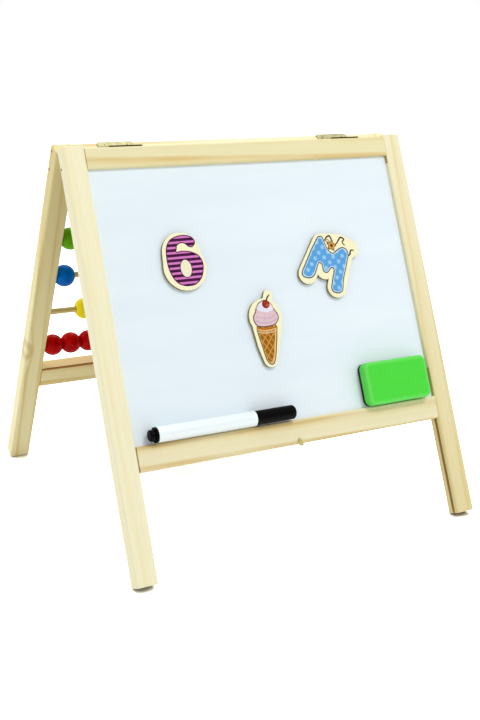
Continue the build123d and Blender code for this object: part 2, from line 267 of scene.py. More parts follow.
@dataclass(frozen=True)
class Pine:
    """Planed and sanded pine, left pale: broad soft growth bands about a pith line outside the timber.

    The eye sees cream early wood, wide honey-coloured bands with soft edges that drift along the
    length, faint streaks, fine fibres and now and then a pale knot in a tan ring. The two end tints
    deepen the wood towards its top or foot, left or right. Places are boxes of a colour of their own:
    mostly painted shade in grooves, gaps and shaded corners and edges, there partly the raw sawn
    wood's own darker tone, and painted light on a top face. The pith line leans along the grain by
    the slope, and the knot is its place and its size.
    """

    name: str
    side: Side
    run: Run
    pith: Triple
    slope: Triple = (0.0, 0.0, 0.0)
    ring: float = 12.0
    wander: float = 4.0
    pale: str = "#F3EAC6"
    honey: str = "#EBDCAA"
    late: str = "#DCC183"
    ends: tuple[str, str] = ("#FFFFFF", "#FFFFFF")
    knot: tuple[float, float, float, float] | None = None
    places: tuple[Place, ...] = ()

    def build(self) -> Material:
        """Makes the material of one timber.

        Returns:
            The material.
        """
        made, tree = blank(self.name)
        folded = object_space(tree, self.side)
        along = add(tree, "VectorMath", {0: folded, 1: self.run.grain()}, "Value", operation="DOT_PRODUCT")
        radius = self.radius(tree, folded, along)
        if self.knot:
            push, tan = self.around_knot(tree, folded)
            radius = add(tree, "Math", {0: radius, 1: push}, operation="ADD")
        wood = self.bands(tree, folded, radius)
        # streaks 2 mm wide and 160 mm long, and fibres drawn coarser than real ones, so that they show
        streak = self.noise(tree, folded, 2.0, 160.0, 2.0)
        fibre = self.noise(tree, folded, 0.45, 25.0, 2.0)
        for noise, dark in ((streak, "#FDFBF6"), (fibre, "#FBFAF6")):
            shade = add(tree, "ValToRGB", {0: noise}, stops=((0.32, dark), (0.62, "#FFFFFF")))
            wood = add(tree, "Mix", {0: 1.0, 6: wood, 7: shade}, **TINT)
        start, stop = self.run.reach()
        share = add(tree, "MapRange", {"Value": along, "From Min": start, "From Max": stop})
        tint = add(tree, "ValToRGB", {0: share}, stops=((0.0, self.ends[0]), (1.0, self.ends[1])))
        wood = add(tree, "Mix", {0: 1.0, 6: wood, 7: tint}, **TINT)
        if self.knot:
            wood = add(tree, "Mix", {0: tan, 6: wood, 7: hex_linear("#C0A250")}, **BLEND)
        for place in self.places:
            inside = place.mask(tree, folded)
            wood = add(tree, "Mix", {0: inside, 6: wood, 7: hex_linear(place.colour)}, **BLEND)
        height = add(tree, "Math", {0: streak, 1: fibre}, operation="ADD")
        bump = add(tree, "Bump", {"Strength": 0.1, "Distance": 0.0002, "Height": height})
        sanded = {"Roughness": 0.55, "IOR": 1.5, "Specular IOR Level": 0.3}
        return coat(made, {**sanded, "Base Color": wood, "Normal": bump})

    def noise(self, tree: Tree, folded: Socket, across: float, along: float, detail: float) -> Socket:
        """A noise that is drawn out along the grain.

        Args:
            tree: The material's node tree.
            folded: Places on the folded frame.
            across: Size of a wave across the grain, in millimetres.
            along: Size of a wave along the grain.
            detail: Number of finer layers.

        Returns:
            The noise, from 0 to 1.
        """
        stretch = tuple(1 / ((across if c else along) * MM) for c in self.run.value)
        place = add(tree, "VectorMath", {0: folded, 1: stretch}, operation="MULTIPLY")
        return add(tree, "TexNoise", {"Vector": place, "Scale": 1.0, "Detail": detail})

    def radius(self, tree: Tree, folded: Socket, along: Socket) -> Socket:
        """Distance from the leaning pith line, bent by a slow noise.

        Args:
            tree: The material's node tree.
            folded: Places on the folded frame.
            along: The place along the grain.

        Returns:
            The distance in metres.
        """
        lean = add(tree, "VectorMath", {0: self.slope, 3: along}, operation="SCALE")
        pith = tuple(c * MM for c in self.pith)
        section = add(tree, "VectorMath", {0: folded, 1: pith}, operation="SUBTRACT")
        section = add(tree, "VectorMath", {0: section, 1: self.run.value}, operation="MULTIPLY")
        section = add(tree, "VectorMath", {0: section, 1: lean}, operation="ADD")
        straight = add(tree, "VectorMath", {0: section}, "Value", operation="LENGTH")
        bend = self.noise(tree, folded, 45.0, 290.0, 2.0)
        return add(tree, "Math", {0: bend, 1: 2 * self.wander * MM, 2: straight}, operation="MULTIPLY_ADD")

    def around_knot(self, tree: Tree, folded: Socket) -> tuple[Socket, Socket]:
        """Bends the bands round the knot, out to 4 times its size, and rims it.

        Args:
            tree: The material's node tree.
            folded: Places on the folded frame.

        Returns:
            How far the bands are pushed out, and how much of the rim's tan shows.
        """
        x, y, z, size = (c * MM for c in self.knot)
        squash = (1.0, 0.6, 0.6) if self.run is Run.STILE else (0.6, 0.6, 1.0)
        soft = {"interpolation_type": "SMOOTHSTEP"}
        gap = add(tree, "VectorMath", {0: folded, 1: (x, y, z)}, operation="SUBTRACT")
        gap = add(tree, "VectorMath", {0: gap, 1: squash}, operation="MULTIPLY")
        reach = add(tree, "VectorMath", {0: gap}, "Value", operation="LENGTH")
        limits = {"From Max": 4 * size, "To Min": 0.4 * self.ring * MM, "To Max": 0.0}
        push = add(tree, "MapRange", {"Value": reach, **limits}, **soft)
        rim = add(tree, "Math", {0: reach, 1: size}, operation="SUBTRACT")
        rim = add(tree, "Math", {0: rim}, operation="ABSOLUTE")
        limits = {"From Max": 0.85 * size, "To Min": 0.5, "To Max": 0.0}
        return push, add(tree, "MapRange", {"Value": rim, **limits}, **soft)

    def bands(self, tree: Tree, folded: Socket, radius: Socket) -> Socket:
        """Growth bands by the distance from the pith; they come and go along the length, over 90 mm.

        Args:
            tree: The material's node tree.
            folded: Places on the folded frame.
            radius: The distance from the pith line.

        Returns:
            The colour.
        """
        rings = add(tree, "Math", {0: radius, 1: self.ring * MM}, operation="DIVIDE")
        phase = add(tree, "Math", {0: rings}, operation="FRACT")
        early = ((0.0, self.pale), (0.46, self.pale), (0.7, self.honey))
        late = ((0.84, self.late), (0.94, self.honey), (1.0, self.pale))
        banded = add(tree, "ValToRGB", {0: phase}, stops=early + late)
        banded.node.color_ramp.interpolation = "B_SPLINE"
        years = self.noise(tree, folded, 14.0, 90.0, 1.0)
        limits = {"From Min": 0.32, "From Max": 0.62, "To Min": 0.35, "To Max": 1.0}
        years = add(tree, "MapRange", {"Value": years, **limits})
        return add(tree, "Mix", {0: years, 6: hex_linear(self.pale), 7: banded}, **BLEND)


@dataclass(frozen=True)
class GlossPaint:
    """Sprayed gloss enamel on turned wood: deep colour, a hard clear gloss and a faint orange peel."""

    name: str
    colour: str
    deep: str

    def build(self) -> Material:
        """Makes the paint, thin and woody at the rim of the bore where the 'rim' attribute is 1.

        Returns:
            The material.
        """
        made, tree = blank(self.name)
        where = object_space(tree)
        # orange peel 1.2 mm across, colour drift over 12 mm
        peel = add(tree, "TexNoise", {"Vector": where, "Scale": 830.0, "Detail": 1.0})
        drift = add(tree, "TexNoise", {"Vector": where, "Scale": 85.0, "Detail": 2.0})
        paint = add(tree, "ValToRGB", {0: drift}, stops=((0.35, self.deep), (0.65, self.colour)))
        rim = add(tree, "Attribute", {}, "Fac", attribute_name="rim")
        worn = add(tree, "Math", {0: peel, 1: 0.5, 2: rim}, operation="MULTIPLY_ADD")
        worn = add(tree, "MapRange", {"Value": worn, "From Min": 1.05, "From Max": 1.3})
        paint = add(tree, "Mix", {0: worn, 6: paint, 7: hex_linear("#C9A56A")}, **BLEND)
        bump = add(tree, "Bump", {"Strength": 0.05, "Distance": 0.0001, "Height": peel})
        gloss = {"Roughness": 0.08, "IOR": 1.5, "Specular IOR Level": 0.04}
        return coat(made, {**gloss, "Base Color": paint, "Normal": bump})


@dataclass(frozen=True)
class Speckled:
    """Any surface that is one colour broken by a fine grain: moulded plastic, foam, felt, fibre board.

    The grain is the grain's width in millimetres and the relief its bump strength. Where the 'edge'
    attribute is 1, the surface takes the painted highlight colour, a paler tone painted where light catches a
    rounded edge.
    """

    name: str
    colour: str
    grain_colour: str
    grain: float
    relief: float
    roughness: float
    sheen: float = 0.0
    ior: float = 1.5
    specular: float = 0.5
    threshold: Pair = (0.4, 0.65)
    painted_highlight_colour: str = ""

    def build(self) -> Material:
        """Makes the surface.

        Returns:
            The material.
        """
        made, tree = blank(self.name)
        where = object_space(tree)
        noise = add(tree, "TexNoise", {"Vector": where, "Scale": 1000 / self.grain, "Detail": 3.0})
        stops = ((self.threshold[0], self.grain_colour), (self.threshold[1], self.colour))
        colour = add(tree, "ValToRGB", {0: noise}, stops=stops)
        if self.painted_highlight_colour:
            edge = add(tree, "Attribute", {}, "Fac", attribute_name="edge")
            colour = add(tree, "Mix", {0: edge, 6: colour, 7: hex_linear(self.painted_highlight_colour)}, **BLEND)
        depth = self.grain * MM * 0.3
        bump = add(tree, "Bump", {"Strength": self.relief, "Distance": depth, "Height": noise})
        gloss = {"Roughness": self.roughness, "IOR": self.ior, "Specular IOR Level": self.specular}
        return coat(made, {**gloss, "Base Color": colour, "Sheen Weight": self.sheen, "Normal": bump})


@dataclass(frozen=True)
class Enamel:
    """Gloss white enamel baked on thin steel, with the faint haze that a dry eraser leaves."""

    name: str = "whiteboard enamel, baked on steel"

    def build(self) -> Material:
        """Makes the enamel; the haze lies in strokes about 18 mm wide and 120 mm long, over 6 mm ripples.

        Returns:
            The material.
        """
        made, tree = blank(self.name)
        folded = object_space(tree, Side.FRONT)
        wiping = {"Rotation": (0, math.radians(24), 0), "Scale": (8.0, 55.0, 55.0)}
        strokes = add(tree, "Mapping", {"Vector": folded, **wiping})
        haze = add(tree, "TexNoise", {"Vector": strokes, "Scale": 1.0, "Detail": 4.0})
        colour = add(tree, "ValToRGB", {0: haze}, stops=((0.3, "#E4F0F7"), (0.7, "#E9F4FA")))
        rough = add(tree, "MapRange", {"Value": haze, "To Min": 0.14, "To Max": 0.24})
        ripple = add(tree, "TexNoise", {"Vector": folded, "Scale": 160.0, "Detail": 1.0})
        bump = add(tree, "Bump", {"Strength": 0.02, "Distance": 0.0002, "Height": ripple})
        return coat(made, {"Base Color": colour, "Roughness": rough, "IOR": 1.52, "Normal": bump})


@dataclass(frozen=True)
class Metal:
    """Pressed or drawn metal with fine scratches and a darker film in its hollows.

    On a hinge leaf the far edge is painted dark: painted shade standing for the shadow gap at the leaf's
    edge.
    """

    name: str
    bright: str
    dull: str
    roughness: float
    leaf: Side | None = None
    leaf_reach: float = 11.7

    def build(self) -> Material:
        """Makes the metal; scratches are 0.25 mm apart and run along X, the film drifts over 4 mm.

        Returns:
            The material.
        """
        made, tree = blank(self.name)
        scratched = object_space(tree, scale=(120.0, 4000.0, 4000.0))
        scratch = add(tree, "TexNoise", {"Vector": scratched, "Scale": 1.0, "Detail": 2.0})
        film = add(tree, "TexNoise", {"Vector": object_space(tree), "Scale": 250.0, "Detail": 3.0})
        colour = add(tree, "ValToRGB", {0: film}, stops=((0.35, self.dull), (0.6, self.bright)))
        if self.leaf:
            # painted shade: the leaf's far edge is painted near black
            colour = add(tree, "Mix", {0: self.painted_shade_edge(tree), 6: colour, 7: hex_linear("#3A2C16")}, **BLEND)
        limits = {"To Min": self.roughness - 0.1, "To Max": self.roughness + 0.12}
        rough = add(tree, "MapRange", {"Value": scratch, **limits})
        bump = add(tree, "Bump", {"Strength": 0.08, "Distance": 0.0001, "Height": scratch})
        return coat(made, {"Base Color": colour, "Metallic": 1.0, "Roughness": rough, "Normal": bump})

    def painted_shade_edge(self, tree: Tree) -> Socket:
        """Finds the leaf's far edge, where the shade is painted, measured on the folded frame.

        Args:
            tree: The material's node tree.

        Returns:
            1 at the edge, 0 elsewhere.
        """
        depth = add(tree, "SeparateXYZ", {0: object_space(tree, self.leaf)}, "Y")
        reach = add(tree, "Math", {0: depth, 1: float(self.leaf.value)}, operation="MULTIPLY")
        return add(tree, "Math", {0: reach, 1: self.leaf_reach * MM}, operation="GREATER_THAN")


@dataclass(frozen=True)
class CutoutWood:
    """Thin limewood board cut by a jigsaw: a cream sealed face and darker, layered sawn edges, whose
    grey-olive is partly their own tone and partly painted shade.
    """

    name: str = "limewood board, cut out and sealed"

    def build(self) -> Material:
        """Makes the board; its face is the last quarter of a millimetre of its thickness.

        Returns:
            The material.
        """
        made, tree = blank(self.name)
        folded = object_space(tree, Side.FRONT)
        # fibres 1.1 mm wide and 22 mm long
        stretched = add(tree, "VectorMath", {0: folded, 1: (900.0, 900.0, 45.0)}, operation="MULTIPLY")
        fibre = add(tree, "TexNoise", {"Vector": stretched, "Scale": 1.0, "Detail": 3.0})
        face = add(tree, "ValToRGB", {0: fibre}, stops=((0.35, "#F4EEC2"), (0.65, "#FAF6D0")))
        # three plies of 1 mm through the thickness
        depth = add(tree, "SeparateXYZ", {0: folded}, "Y")
        ply = add(tree, "Math", {0: depth, 1: math.pi / MM}, operation="MULTIPLY")
        ply = add(tree, "Math", {0: ply}, operation="SINE")
        # the edges' dark grey-olive is partly painted shade
        edge = add(tree, "ValToRGB", {0: ply}, stops=((0.1, "#77734F"), (0.9, "#9C9570")))
        top = -(STANCE.half_gap + STANCE.board_face + STANCE.cutout) * MM
        limits = {"From Min": top + 0.25 * MM, "From Max": top + 0.05 * MM}
        facing = add(tree, "MapRange", {"Value": depth, **limits})
        colour = add(tree, "Mix", {0: facing, 6: edge, 7: face}, **BLEND)
        bump = add(tree, "Bump", {"Strength": 0.08, "Distance": 0.0001, "Height": fibre})
        sealed = {"Roughness": 0.45, "IOR": 1.5, "Specular IOR Level": 0.3}
        return coat(made, {**sealed, "Base Color": colour, "Normal": bump})


@dataclass(frozen=True)
class Ink:
    """Screen-printed ink on board: flat, slightly satin, a little thinner in places.

    A motif repeats at the pitch and starts at the shift, in millimetres. The step gives the heights of
    its waves between which one colour passes into the other.
    """

    name: str
    colour: str
    second: str = ""
    motif: Motif = Motif.PLAIN
    pitch: float = 3.8
    shift: float = 0.0
    step: Pair = (-0.05, 0.3)

    def build(self) -> Material:
        """Makes the ink.

        Returns:
            The material.
        """
        made, tree = blank(self.name)
        folded = object_space(tree, Side.FRONT)
        # pinholes and thin places 1.4 mm across
        thin = add(tree, "TexNoise", {"Vector": folded, "Scale": 700.0, "Detail": 2.0})
        shade = add(tree, "ValToRGB", {0: thin}, stops=((0.3, "#F2F2F2"), (0.6, "#FFFFFF")))
        colour = hex_linear(self.colour)
        if self.motif is not Motif.PLAIN:
            second = self.mask(tree, folded)
            colour = add(tree, "Mix", {0: second, 6: colour, 7: hex_linear(self.second)}, **BLEND)
        colour = add(tree, "Mix", {0: 1.0, 6: colour, 7: shade}, **TINT)
        satin = {"Roughness": 0.42, "IOR": 1.48, "Specular IOR Level": 0.12}
        return coat(made, {**satin, "Base Color": colour})

    def mask(self, tree: Tree, folded: Socket) -> Socket:
        """Finds the places of the second colour.

        Sine waves of the pitch run down the print for stripes, down and across it for dots and along
        two diagonals for a lattice. Dots are where both are high, a lattice where either is.

        Args:
            tree: The material's node tree.
            folded: Places on the folded frame.

        Returns:
            1 where the second colour lies, 0 elsewhere.
        """
        waves = 2 * math.pi / (self.pitch * MM)
        parts = add(tree, "SeparateXYZ", {0: folded}).node.outputs
        lines = {
            Motif.STRIPES: ((0.0, 1.0),),
            Motif.DOTS: ((1.0, 0.0), (0.0, 1.0)),
            Motif.LATTICE: ((1.5, 1.0), (-1.2, 1.0)),
        }[self.motif]
        heights = []
        for across, down in lines:
            fall = add(tree, "Math", {0: parts["Z"], 1: down, 2: self.shift * MM}, operation="MULTIPLY_ADD")
            line = add(tree, "Math", {0: parts["X"], 1: across, 2: fall}, operation="MULTIPLY_ADD")
            wave = add(tree, "Math", {0: line, 1: waves}, operation="MULTIPLY")
            heights.append(add(tree, "Math", {0: wave}, operation="SINE"))
        join = "MULTIPLY" if self.motif is Motif.DOTS else "MAXIMUM"
        height = add(tree, "Math", {0: heights[0], 1: heights[-1]}, operation=join)
        return add(tree, "MapRange", {"Value": height, "From Min": self.step[0], "From Max": self.step[1]})


def grid_quads(rows: int, columns: int, wrap_rows: bool = False) -> np.ndarray:
    """Quads of rows of points numbered row by row, where each row is a closed ring.

    Args:
        rows: Number of rows.
        columns: Number of points in a row.
        wrap_rows: Whether the last row joins the first.

    Returns:
        Point numbers, four to a quad.
    """
    row = np.arange(rows if wrap_rows else rows - 1)
    r0, c0 = np.meshgrid(row, np.arange(columns), indexing="ij")
    r1, c1 = (r0 + 1) % rows, (c0 + 1) % columns
    corners = [r0 * columns + c0, r0 * columns + c1, r1 * columns + c1, r1 * columns + c0]
    return np.stack(corners, -1).reshape(-1, 4)


def tube_faces(rows: int, columns: int, start: int = 0, closed: bool = False) -> list[list[int]]:
    """Faces of a tube of rows of points, numbered row by row.

    Args:
        rows: Number of rows.
        columns: Number of points in a row.
        start: Number of the first point.
        closed: Whether the last row joins the first; if not, a face shuts each end.

    Returns:
        The point numbers of each face.
    """
    quads = (grid_quads(rows, columns, closed) + start).tolist()
    if closed:
        return quads
    last = start + (rows - 1) * columns
    return quads + [list(range(start, start + columns))[::-1], list(range(last, last + columns))]


def put(name: str, data: bpy.types.ID) -> bpy.types.Object:
    """Adds an object to the scene.

    Args:
        name: The object's name.
        data: Its mesh, lamp or camera.

    Returns:
        The object, at the origin.
    """
    made = bpy.data.objects.new(name, data)
    bpy.context.scene.collection.objects.link(made)
    return made


@dataclass
class Piece:
    """A new mesh piece: its points in metres, its faces, its finishes and what it stands for."""

    name: str
    points: np.ndarray
    faces: list
    finishes: list[Material]
    body: str = ""
    stands_for: tuple[str, ...] = ()
    finish_of: list[int] = field(default_factory=list)
    attributes: dict[str, np.ndarray] = field(default_factory=dict)
    sharp: float = math.radians(40.0)
    weld: float = 1e-7
    sliver: float = 1e-8

    def make(self) -> bpy.types.Object:
        """Builds the object, welds its seams and poles, and lets it ride on its body.

        Returns:
            The finished object, at the origin, with its place in its mesh.
        """
        mesh = bpy.data.meshes.new(self.name)
        mesh.from_pydata(self.points.reshape(-1, 3).tolist(), [], [list(face) for face in self.faces])
        for finish in self.finishes:
            mesh.materials.append(finish)
        if self.finish_of:
            mesh.polygons.foreach_set("material_index", self.finish_of)
        for key, values in self.attributes.items():
            attribute = mesh.attributes.new(key, "FLOAT", "POINT")
            attribute.data.foreach_set("value", values.astype(np.float32).ravel())
        shell = bmesh.new()
        shell.from_mesh(mesh)
        bmesh.ops.remove_doubles(shell, verts=shell.verts, dist=self.weld)
        bmesh.ops.dissolve_degenerate(shell, edges=shell.edges, dist=self.sliver)
        bmesh.ops.recalc_face_normals(shell, faces=shell.faces)
        shell.to_mesh(mesh)
        shell.free()
        mesh.shade_smooth()
        mesh.set_sharp_from_angle(angle=self.sharp)
        made = put(self.name, mesh)
        if self.stands_for:
            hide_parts(*self.stands_for)
        if self.body:
            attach(made, self.body)
        LOG.info("%s: %d faces", self.name, len(mesh.polygons))
        return made


def dress(finish: Material, *nodes: str) -> None:
    """Gives CAD nodes a finish.

    Args:
        finish: The material.
        *nodes: Names of the nodes.
    """
    for name in nodes:
        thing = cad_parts[name]
        if not thing.material_slots:
            thing.data.materials.append(finish)
        for slot in thing.material_slots:
            slot.material = finish
        LOG.info("%s: %s", name, finish.name)


@dataclass
class TimberFrames:
    """The eight pine timbers, their nails and dowels, the board and the hinges that join the frames."""

    half_width: float = 155.0
    stile_width: float = 17.5

    def timber(self, node: str, pith: Triple, slope: Triple, ring: float, **looks) -> None:
        """Dresses one timber in its own cut of pine; its frame and its grain follow from its name.

        Args:
            node: The CAD node.
            pith: A point on the pith line, in millimetres on the folded frame.
            slope: How far the pith line leans for each millimetre along the grain.
            ring: Width of a growth band.
            **looks: Other fields of the pine.
        """
        words = node.split("_")
        side, run = Side[words[0].upper()], Run[words[-1].upper()]
        dress(Pine(f"pine, {' '.join(words)}", side, run, pith, slope, ring, **looks).build(), node)

    def front_timbers(self, stile: float) -> None:
        """Dresses the front frame; its grooves, shaded inner corners, the top rail's lower edge and the
        bottom rail's sawn end are painted darker as painted shade, in the grooves and at the end partly the
        raw wood's own tone.

        Args:
            stile: X of the middle of the right stile.
        """
        # the grooves are painted darker: painted shade inside them, partly the raw sawn wood's own tone
        face, shaded_groove = -STANCE.stock - STANCE.half_gap, "#D0AE58"
        self.timber(
            "front_left_stile", (150 - stile, face - 20, 0), (0.02, 0.01, 0), 15.0,
            pale="#F6F1CE", honey="#F5EEC8", late="#F2E8BC",
            places=(Place((-143.0, -9.4, -330.0), (-137.7, -6.1, 0.0), shaded_groove),))
        self.timber(
            "front_right_stile", (stile + 170, face + 40, 0), (-0.03, 0.01, 0), 13.0,
            pale="#F4EDCA", honey="#F1E6BC", late="#E8D8A2", ends=("#FFFFFF", "#F0EAD4"),
            places=(
                Place((137.7, -9.4, -330.0), (143.0, -6.1, 0.0), shaded_groove),
                # painted shade: the right stile's inner face is darker under the top rail and beside the
                # eraser
                Place((137.3, -13.0, -26.0), (137.9, -9.3, -19.0), "#A8935A"),
                Place((137.3, -13.0, -230.0), (137.9, -9.3, -206.0), "#B29E62")))
        self.timber(
            "front_top_rail", (0, face, -196.7), (0, 0, 0.025), 17.0, wander=2.5,
            pale="#ECE4B8", honey="#E5D396", late="#D5B46C",
            # painted shade along the top rail's lower edge
            places=(Place((-140.0, -14.0, -20.8), (140.0, 0.5, -19.4), "#BFAF72"),))
        self.timber(
            "front_bottom_rail", (0, face, -437.6), (0, 0, 0.011), 15.0, wander=3.0,
            pale="#EEE5C0", honey="#E6D69E", late="#CCA760",
            # the rail's sawn left end: its end grain's own tone and painted shade of the gap at the stile
            places=(Place((-139.0, -14.0, -251.0), (-136.9, 0.5, -229.0), "#8A6A34"),))

    def rear_timbers(self, stile: float) -> None:
        """Dresses the rear frame; the top of its bottom rail is painted bright, as painted light, with a dark
        inner edge.

        Args:
            stile: X of the middle of the right stile.
        """
        self.timber(
            "rear_left_stile", (120 - stile, -40, 0), (0.03, 0.02, 0), 11.0,
            # painted shade: the stile is painted darker towards its top
            pale="#FFF7C6", honey="#F8ECB0", late="#E6CC84", ends=("#E4E0D0", "#FFFFFF"),
            knot=(-stile - 8.7, 3.2, -201, 4.4))
        self.timber(
            "rear_right_stile", (stile - 130, 60, 0), (0.02, 0.03, 0), 12.0,
            pale="#F1E8C0", honey="#EADBA8", late="#DABF80")
        self.timber(
            "rear_top_rail", (0, 60, -160), (0, 0.02, 0.03), 13.0,
            pale="#F1E8C0", honey="#E9DAA8", late="#D9BD7E", knot=(64, 12, -16, 3.0))
        self.timber(
            "rear_bottom_rail", (0, -20, -400), (0, 0.01, 0.02), 15.0,
            pale="#F6EAB4", honey="#EDDA9A", late="#DCBD72",
            places=(
                # painted light: the top face of the bottom rail is painted brighter
                Place((-140.0, 0.0, -225.0), (140.0, 14.0, -223.0), "#FFF3AC"),
                Place((-140.0, 0.0, -225.8), (140.0, 1.7, -223.0), "#A87E3C")))

    def build(self) -> None:
        """Dresses the timbers, nails, dowels, hinges and board layers."""
        stile = self.half_width - self.stile_width / 2
        self.front_timbers(stile)
        self.rear_timbers(stile)
        nail = Metal("steel wire nail, rusted head", "#5C4A34", "#33261A", 0.5)
        dress(nail.build(), "front_frame_nails", "rear_frame_nails")
        beech = Pine(
            "beech dowel, turned", Side.FRONT, Run.RAIL, (0, 30, -300), ring=5.0, wander=1.5,
            pale="#E2C9A0", honey="#D8BB8C", late="#C8A272")
        dress(beech.build(), "front_rail_dowels", "rear_rail_dowels")
        for side in Side:
            name = side.name.lower()
            plate = Metal(f"brass-plated steel, pressed, {name} leaf", "#ACA67C", "#989066", 0.45, side)
            leaves = (f"left_hinge_{name}_leaf", f"right_hinge_{name}_leaf")
            dress(plate.build(), f"{name}_hinge_screws", *leaves)
        pin = Metal("drawn steel hinge pin", "#A9A69C", "#7E7A70", 0.3)
        dress(pin.build(), "left_hinge_pin", "right_hinge_pin")
        dress(Enamel().build(), "whiteboard_sheet")
        hardboard = Speckled("hardboard, pressed wood fibre", "#7A5433", "#5C3D24", 0.9, 0.5, 0.7)
        dress(hardboard.build(), "board_backing")


@dataclass
class BeadRows:
    """Five rods with ten painted beads each, in two groups."""

    inner_half: float = 137.5
    rows: tuple[str, ...] = ("red", "yellow", "blue", "green", "top")
    left_counts: tuple[int, ...] = (6, 4, 1, 3, 5)
    left_starts: tuple[float, ...] = (0.2, 24.2, 0.2, 0.2, 0.2)
    in_row: int = 10
    lowest_drop: float = 199.5
    pitch: float = 37.9
    radius: float = 9.3
    length: float = 16.6
    bore: float = 2.8
    lip: float = 0.35
    shoulder: float = math.radians(5)
    wear: float = 1.2
    end_gap: float = 0.2

    def profile(self, steps: int = 30) -> np.ndarray:
        """Half section of a bead.

        A circle runs over the ball, a quadratic curve rounds its shoulder off into the flat at each
        end, the flat runs to the rim, a quarter round turns the rim's lip into the bore, and the bore
        closes the loop.

        Args:
            steps: Points on the circle.

        Returns:
            X and radius of the section's points.
        """
        half, rim = self.length / 2, self.bore + self.lip
        start = math.acos(half / self.radius) + self.shoulder
        turn = np.linspace(start, math.pi - start, steps)
        ball = np.stack([-self.radius * np.cos(turn), self.radius * np.sin(turn)], -1)
        leave = self.radius * np.array([math.cos(start), math.sin(start)])
        corner = np.array([half, leave[1] - (half - leave[0]) / math.tan(start)])
        flat = corner - (0.0, 0.5)
        s = np.linspace(0.25, 1.0, 4)[:, None]
        ease = leave * (1 - s) ** 2 + 2 * corner * s * (1 - s) + flat * s ** 2
        quarter = np.linspace(0.0, 1.0, 5) * math.pi / 2
        bend = np.stack([half - self.lip * (1 - np.cos(quarter)), rim - self.lip * np.sin(quarter)], -1)
        end = np.concatenate([ease, bend])
        return np.concatenate([ball, end, end[::-1] * (-1, 1)])

    def group(self, name: str, drop: float, first: float, count: int, paint: Material) -> Piece:
        """A run of neighbouring beads.

        Args:
            name: The CAD node that the beads stand for.
            drop: The row's distance below the frame's top.
            first: X of the first bead's middle.
            count: Number of beads.
            paint: Their finish.

        Returns:
            One piece. Each bead is the half section turned about the rod, repeated every bead length.
        """
        section, columns = self.profile(), 40
        angle = np.linspace(0, 2 * math.pi, columns, endpoint=False)
        middle = first + self.length * np.arange(count)[:, None, None]
        x = middle + section[None, :, None, 0] + 0 * angle
        reach = section[None, :, None, 1]
        out, down = STANCE.stock / 2 + reach * np.cos(angle), drop + reach * np.sin(angle)
        points = STANCE.place(Side.REAR, x, out, down)
        start = np.arange(count)[:, None, None] * len(section) * columns
        faces = (grid_quads(len(section), columns, wrap_rows=True) + start).reshape(-1, 4)
        rim = np.clip(1 - (reach - self.bore) / self.wear, 0, 1) + 0 * x
        return Piece(f"{name}_painted", points, list(faces), [paint], name, (name,), attributes={"rim": rim})

    def build(self) -> None:
        """Makes every bead group and dresses the rods."""
        colours = {
            "red": ("#C40202", "#AE0101"),
            "yellow": ("#FFF02C", "#FFE81C"),
            "blue": ("#007CE4", "#0068C4"),
            "green": ("#6FBF0A", "#5CA808"),
        }
        paints = {}
        for name, pair in colours.items():
            paints[name] = GlossPaint(f"{name} gloss enamel, sprayed", *pair).build()
        paints["top"] = paints["red"]
        dowel = Pine(
            "birch dowel, turned", Side.REAR, Run.RAIL, (0, 20, -60), (0, 0.01, 0.02), 4.0, 1.5,
            pale="#E0D088", honey="#D4C074", late="#C2A65A")
        dress(dowel.build(), *[f"{row}_row_rod" for row in self.rows])
        for number, row in enumerate(self.rows):
            drop = self.lowest_drop - self.pitch * number
            count = self.left_counts[number]
            left = -self.inner_half + self.left_starts[number] + self.length / 2
            self.group(f"{row}_beads_left", drop, left, count, paints[row]).make()
            right = self.inner_half - self.end_gap - self.length * (self.in_row - count - 0.5)
            self.group(f"{row}_beads_right", drop, right, self.in_row - count, paints[row]).make()


@dataclass
class Marker:
    """The slim whiteboard marker that lies on the ledge."""

    def build(self) -> None:
        """Dresses the marker's parts."""
        white = Speckled("polypropylene, moulded white", "#F4FDFD", "#EEF8F9", 0.8, 0.02, 0.26)
        black = Speckled("polypropylene, moulded black", "#010101", "#030303", 0.5, 0.05, 0.3, specular=0.04)
        ink = Speckled("bonded polyester fibre, ink-soaked", "#0E0E10", "#1E1E22", 0.4, 0.5, 0.8, 0.2)
        dress(white.build(), "marker_barrel")
        dress(black.build(), "marker_end_plug", "marker_cap", "marker_neck")
        dress(ink.build(), "marker_ink_core", "marker_nib")


